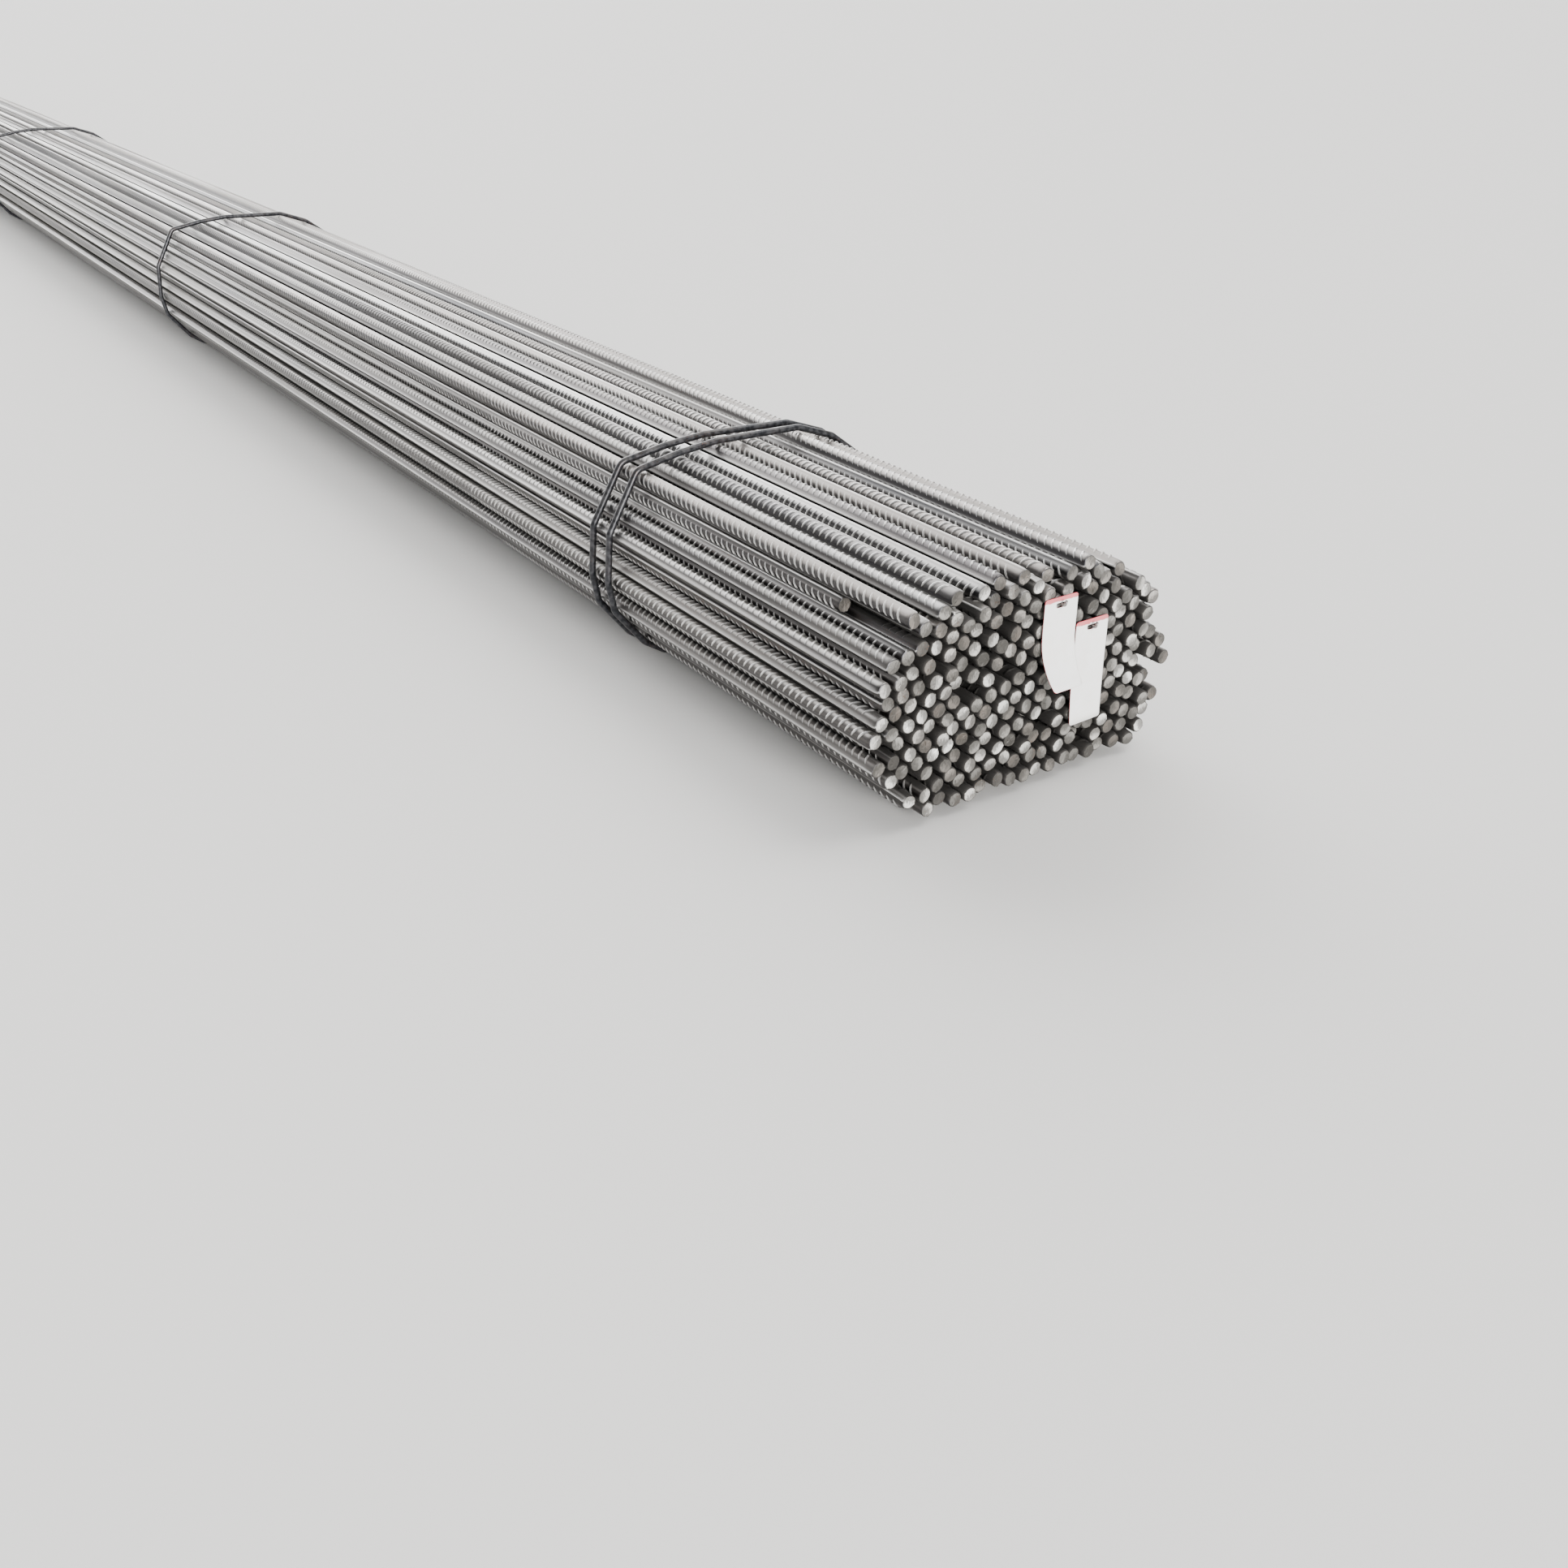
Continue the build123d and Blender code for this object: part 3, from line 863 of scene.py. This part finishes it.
def buildTie(nodeName, knotX, farX, heading):
    # once round the bars, with its ends laid round each other on the longest straight run of the +Y flank
    shape = tieShape
    runs = [(math.dist(first, second), hull.index(first))
            for first, second in zip(hull, hull[1:] + hull[:1]) if first[0] > 0 and second[0] > 0]
    runIndex = max(runs)[1]
    low, high = hull[runIndex], hull[(runIndex + 1) % len(hull)]
    tangent = np.array([high[0] - low[0], high[1] - low[1]]) / math.dist(low, high)
    outward = np.array([tangent[1], -tangent[0]])
    root = (np.array(low) + np.array(high)) / 2 + outward * shape["offset"]
    ordered = hull[runIndex + 1:] + hull[:runIndex + 1]
    loop = []
    for index, corner in enumerate(ordered):
        before = ordered[index - 1]
        after = ordered[(index + 1) % len(ordered)]
        startAngle = math.atan2(before[0] - corner[0], corner[1] - before[1])
        turn = (math.atan2(corner[0] - after[0], after[1] - corner[1]) - startAngle) % (2 * math.pi)
        steps = max(2, math.ceil(math.degrees(turn) / shape["bendStep"]))
        for count in range(steps + 1):
            angle = startAngle + turn * count / steps
            y = corner[0] + shape["offset"] * math.cos(angle)
            z = corner[1] + shape["offset"] * math.sin(angle)
            loop.append((y, z))
    farY = min(y for y, z in loop)
    girth = [(knotX + (farX - knotX) * (root[0] - y) / (root[0] - farY), y, z) for y, z in loop]

    def onFlank(x, along, lift):
        place = root + tangent * along + outward * lift
        return (knotX + heading * x, place[0], place[1])

    def strand(side, shorter):
        points = []
        for count in range(shape["mouthSteps"]):
            bend = math.pi / 2 * count / shape["mouthSteps"]
            x = shape["lead"] * (1 - math.cos(bend))
            along = side * (shape["mouth"] + (shape["twistRadius"] - shape["mouth"]) * math.sin(bend))
            points.append(onFlank(x, along, shape["twistLift"] * math.sin(bend)))
        steps = int(shape["twistTurns"] * shape["turnSteps"]) - shorter
        for count in range(steps + 1):
            angle = 2 * math.pi * count / shape["turnSteps"]
            x = shape["lead"] + shape["twistPitch"] * count / shape["turnSteps"]
            along = side * shape["twistRadius"] * math.cos(angle)
            lift = shape["twistLift"] + side * shape["twistRadius"] * math.sin(angle)
            points.append(onFlank(x, along, lift))
        return points

    path = strand(1, 0)[::-1] + girth + strand(-1, 2)
    radii = [shape["radius"]] * len(path)
    radii[0] = radii[-1] = shape["radius"] * shape["pinch"]
    points, faces = roundRod(path, radii, shape["sides"])
    buildPiece(nodeName.replace("tie_", "tieWire"), points, faces, [rodMaterial], [nodeName])


frontStation = barShape["frontPlane"] - tieShape["frontInset"]
for station in range(tieShape["stations"]):
    x = frontStation - station * tieShape["pitch"]
    if station in (0, tieShape["stations"] - 1):
        for letter, side in (("a", 1), ("b", -1)):
            knotX = x + side * tieShape["pairPinch"] / 2
            buildTie(f"tie_{station + 1}{letter}", knotX, x + side * tieShape["pairSpread"] / 2, side)
    else:
        buildTie(f"tie_{station + 1}", x, x, 1)
print("tie wires built")


tagShape = {
    "width": 30.0 * mm,
    "thickness": 0.5 * mm,
    "corner": 2.2 * mm,
    "cornerSteps": 4,
    "edgeStep": 5.0 * mm,  # about this far between points on its edge
    "slot": (4.5 * mm, 1.8 * mm),  # half its width and height
    "slotPower": 5,  # 2 would make it an ellipse, and more a rectangle
    "slotDrop": 6.0 * mm,
    "rings": 14,  # of faces from the slot to the edge
    # the curl is in degrees, at the left and at the right edge
    "flat": {"length": 78.0 * mm, "straight": 30.0 * mm, "curl": (6.0, 3.0)},
    "curled": {"length": 67.0 * mm, "straight": 27.0 * mm, "curl": (52.0, 38.0)},
}


def tagOutline(width, length, corner):
    # anticlockwise round the tag, across and down from the middle of its top edge
    points = []
    half = width / 2
    corners = ((half - corner, corner, -90), (half - corner, length - corner, 0),
               (corner - half, length - corner, 90), (corner - half, corner, 180))
    for across, down, angle in corners:
        for count in range(tagShape["cornerSteps"] + 1):
            turn = math.radians(angle + 90 * count / tagShape["cornerSteps"])
            points.append((across + corner * math.cos(turn), down + corner * math.sin(turn)))
    dense = []
    for first, second in zip(points, points[1:] + points[:1]):
        pieces = max(1, round(math.dist(first, second) / tagShape["edgeStep"]))
        for count in range(pieces):
            share = count / pieces
            across = first[0] + (second[0] - first[0]) * share
            dense.append((across, first[1] + (second[1] - first[1]) * share))
    return dense


def buildTag(pieceName, nodeName, form):
    shape = tagShape
    least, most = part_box(nodeName)
    backX, topZ, midY = least.x + shape["thickness"] / 2, most.z, (least.y + most.y) / 2
    outer = np.array(tagOutline(shape["width"], form["length"], shape["corner"]))
    hole = np.array([0, shape["slotDrop"]])
    reach = outer - hole
    angles = np.arctan2(reach[:, 1], reach[:, 0])
    wide, high, power = *shape["slot"], shape["slotPower"]
    spread = np.abs(np.cos(angles) / wide) ** power + np.abs(np.sin(angles) / high) ** power
    slotReach = spread ** (-1 / power)
    inner = hole + np.stack([np.cos(angles), np.sin(angles)], axis=1) * slotReach[:, None]
    shares = np.linspace(0, 1, shape["rings"])
    flat = np.vstack([inner + (outer - inner) * share for share in shares])
    across, down = flat[:, 0], flat[:, 1]
    leftCurl, rightCurl = form["curl"]
    side = 0.5 + across / shape["width"]
    curl = np.radians(leftCurl + (rightCurl - leftCurl) * side)
    bentLength = form["length"] - form["straight"]
    bent = np.maximum(down - form["straight"], 0)
    radius = bentLength / curl
    angle = bent / radius
    x = backX + radius * (1 - np.cos(angle))
    z = topZ - np.minimum(down, form["straight"]) - radius * np.sin(angle)
    normal = np.stack([np.cos(angle), np.zeros_like(angle), np.sin(angle)], axis=1)
    middle = np.stack([x, midY + across, z], axis=1)
    front = middle + normal * shape["thickness"] / 2
    back = middle - normal * shape["thickness"] / 2
    count = len(outer)
    total = len(front)
    faces = gridFaces(shape["rings"], count, True)
    faces = faces + [tuple(corner + total for corner in face[::-1]) for face in faces]
    faceCount = len(faces)
    edge = (shape["rings"] - 1) * count
    for index in range(count):
        following = (index + 1) % count
        faces.append((edge + index, edge + following, total + edge + following, total + edge + index))
        faces.append((index, total + index, total + following, following))
    picked = [0] * faceCount + [1] * (len(faces) - faceCount)
    values = {"downTag": np.concatenate([down, down])}
    buildPiece(pieceName, np.vstack([front, back]), faces, [tagMaterial, rimMaterial], [nodeName],
               values, picked, (1,))


pinShape = {
    "radius": 1.1 * mm,
    "sides": 16,
    "sunk": 0.5 * mm,  # of its foot, into the end of its bar
    "bendBack": 3.2 * mm,  # from the foremost point of its axis to where it starts to bend
    "bendRadius": 1.9 * mm,
    "bendTurn": 68,  # degrees
    "bendSteps": 5,
    "tipRun": 0.9 * mm,
    "tipDrop": 0.5 * mm,  # of the middle of its tip below the top of its box
    "tipShare": 0.85,  # of its radius
    "beadRadius": 2.3 * mm,
    "beadHeight": 1.7 * mm,
    "beadSunk": 0.3 * mm,
    "beadRings": 7,
    "beadLobes": 0.12,  # how far its three lobes stand out
    "beadLump": 0.04,
    "beadSeed": 5,
}


def weldBead(x, y, z):
    # rings of points of a lumpy half ball on the end of a bar
    shape = pinShape
    bead = random.Random(shape["beadSeed"])
    points = []
    for count in range(shape["beadRings"]):
        angle = math.pi / 2 * max(count - 0.5, 0) / (shape["beadRings"] - 1)
        around = shape["beadRadius"] * math.cos(angle)
        for side in range(shape["sides"]):
            turn = 2 * math.pi * side / shape["sides"]
            lobe = shape["beadLobes"] * math.sin(3 * turn + count)
            reach = around * (1 + lobe + bead.uniform(-shape["beadLump"], shape["beadLump"]))
            points.append((x - shape["beadSunk"] + shape["beadHeight"] * math.sin(angle),
                           y + reach * math.cos(turn), z + reach * math.sin(turn)))
    return points


def buildPin(pieceName, nodeName):
    # a pin bent up through its tag, with a small weld bead where it stands on the end of its bar
    shape = pinShape
    low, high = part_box(nodeName)
    radius = shape["radius"]
    y = (low.y + high.y) / 2
    carrier = min(bars, key=lambda bar: math.hypot(bar["y"] - y, bar["z"] - low.z - radius))
    z = carrier["z"]
    bendX = high.x - radius - shape["bendBack"]
    path = [(carrier["front"] - shape["sunk"], y, z), (bendX, y, z)]
    for count in range(1, shape["bendSteps"] + 1):
        angle = math.radians(shape["bendTurn"] * count / shape["bendSteps"])
        ahead, up = shape["bendRadius"] * math.sin(angle), shape["bendRadius"] * (1 - math.cos(angle))
        path.append((bendX + ahead, y, z + up))
    path.append((path[-1][0] + shape["tipRun"], y, high.z - shape["tipDrop"]))
    radii = [radius] * (len(path) - 1) + [radius * shape["tipShare"]]
    points, faces = roundRod(path, radii, shape["sides"])
    start = len(points)
    points = points + weldBead(carrier["front"], y, z)
    faces = faces + gridFaces(shape["beadRings"], shape["sides"], True, start)
    faces.append(tuple(range(start + shape["sides"] - 1, start - 1, -1)))
    faces.append(tuple(range(len(points) - shape["sides"], len(points))))
    buildPiece(pieceName, points, faces, [pinMaterial], [nodeName])


buildTag("flatTag", "flat_tag", tagShape["flat"])
buildTag("curledTag", "curled_tag", tagShape["curled"])
buildPin("flatTagPin", "flat_tag_pin")
buildPin("curledTagPin", "curled_tag_pin")
print("tags built, triangles in all:", sum(triangleCount))


stageLook = {
    "floor": (0.78, 0.77, 0.75),
    "floorRough": 0.85,
    "floorSize": 60.0,
    "skyDim": (0.62, 0.63, 0.65),
    "skyBright": (7.0, 7.0, 7.0),
    "brightSide": (-0.93, 0.17, 0.33),  # towards the brightest part of the sky
    "brightSpan": (0.68, 0.99),  # cosines to it at which the brightness starts and is full
    # where each light shines from, how many degrees wide it looks, its strength and its colour
    "keySun": ((0.15, 0.55, 1.0), 35, 1.6, (1.0, 0.99, 0.97)),
    "endSun": ((0.97, -0.12, 0.22), 28, 6.5, (1.0, 0.985, 0.96)),
}


def buildFloor():
    half = stageLook["floorSize"] / 2
    mesh = bpy.data.meshes.new("paleFloor")
    corners = [(-half, -half, 0), (half, -half, 0), (half, half, 0), (-half, half, 0)]
    mesh.from_pydata(corners, [], [(0, 1, 2, 3)])
    material = bpy.data.materials.new("paleFloor")
    material.use_nodes = True
    shader = material.node_tree.nodes["Principled BSDF"]
    feed(material.node_tree, shader, {"Base Color": stageLook["floor"], "Roughness": stageLook["floorRough"]})
    mesh.materials.append(material)
    floor = bpy.data.objects.new("paleFloor", mesh)
    bpy.context.scene.collection.objects.link(floor)


def buildSky():
    # a soft overcast sky, brightest behind the far end of the bars
    world = bpy.data.worlds.new("softSky")
    world.use_nodes = True
    tree = world.node_tree
    toward = addNode(tree, "ShaderNodeVectorMath", operation="DOT_PRODUCT")
    tree.links.new(addNode(tree, "ShaderNodeTexCoord").outputs["Generated"], toward.inputs[0])
    toward.inputs[1].default_value = stageLook["brightSide"]
    share = spanOf(tree, toward.outputs["Value"], *stageLook["brightSpan"])
    background = tree.nodes["Background"]
    colour = blendColour(tree, share, stageLook["skyDim"], stageLook["skyBright"])
    tree.links.new(colour, background.inputs["Color"])
    bpy.context.scene.world = world


def aim(item, place, ahead):
    # puts a light or the camera at a place, looking ahead with its top side up
    right = np.cross(ahead, (0, 0, 1))
    right /= np.linalg.norm(right)
    up = np.cross(right, ahead)
    item.matrix_world = Matrix([[right[i], up[i], -ahead[i], place[i]] for i in range(3)] + [[0, 0, 0, 1]])


def sunLight(name):
    toward, spread, strength, colour = stageLook[name]
    data = bpy.data.lights.new(name, "SUN")
    data.angle = math.radians(spread)
    data.energy = strength
    data.color = colour
    light = bpy.data.objects.new(name, data)
    bpy.context.scene.collection.objects.link(light)
    aim(light, toward, -np.array(toward) / np.linalg.norm(toward))


cameraView = {
    "azimuth": 55.84,  # degrees that the view turns from +Y towards -X
    "elevation": 29.06,  # degrees that it looks down
    "depth": 1.05,  # of the middle of the front end, along the view
    "pixel": (1271.6, 836.3),  # where the middle of the front end shows
    "focal": 1900.0,  # in pixels
    "frame": 1932,  # width in pixels
    "sensor": 36.0,  # in millimetres
}


def placeCamera():
    view = cameraView
    azimuth, elevation = math.radians(view["azimuth"]), math.radians(view["elevation"])
    ahead = np.array([-math.sin(azimuth) * math.cos(elevation), math.cos(azimuth) * math.cos(elevation),
                      -math.sin(elevation)])
    right = np.array([math.cos(azimuth), math.sin(azimuth), 0])
    up = np.cross(right, ahead)
    middleZ = (barCentres[:, 1].min() + barCentres[:, 1].max()) / 2
    end = np.array([barShape["frontPlane"], 0.0, middleZ])
    half = view["frame"] / 2
    place = end - ahead * view["depth"]
    place -= right * (view["pixel"][0] - half) / view["focal"] * view["depth"]
    place -= up * (half - view["pixel"][1]) / view["focal"] * view["depth"]
    data = bpy.data.cameras.new("photoView")
    data.sensor_width = view["sensor"]
    data.lens = view["focal"] * view["sensor"] / view["frame"]
    data.clip_start = 0.01
    data.clip_end = 100.0
    camera = bpy.data.objects.new("photoView", data)
    bpy.context.scene.collection.objects.link(camera)
    aim(camera, place, ahead)
    bpy.context.scene.camera = camera


buildFloor()
buildSky()
sunLight("keySun")
sunLight("endSun")
placeCamera()

print("scene ready")
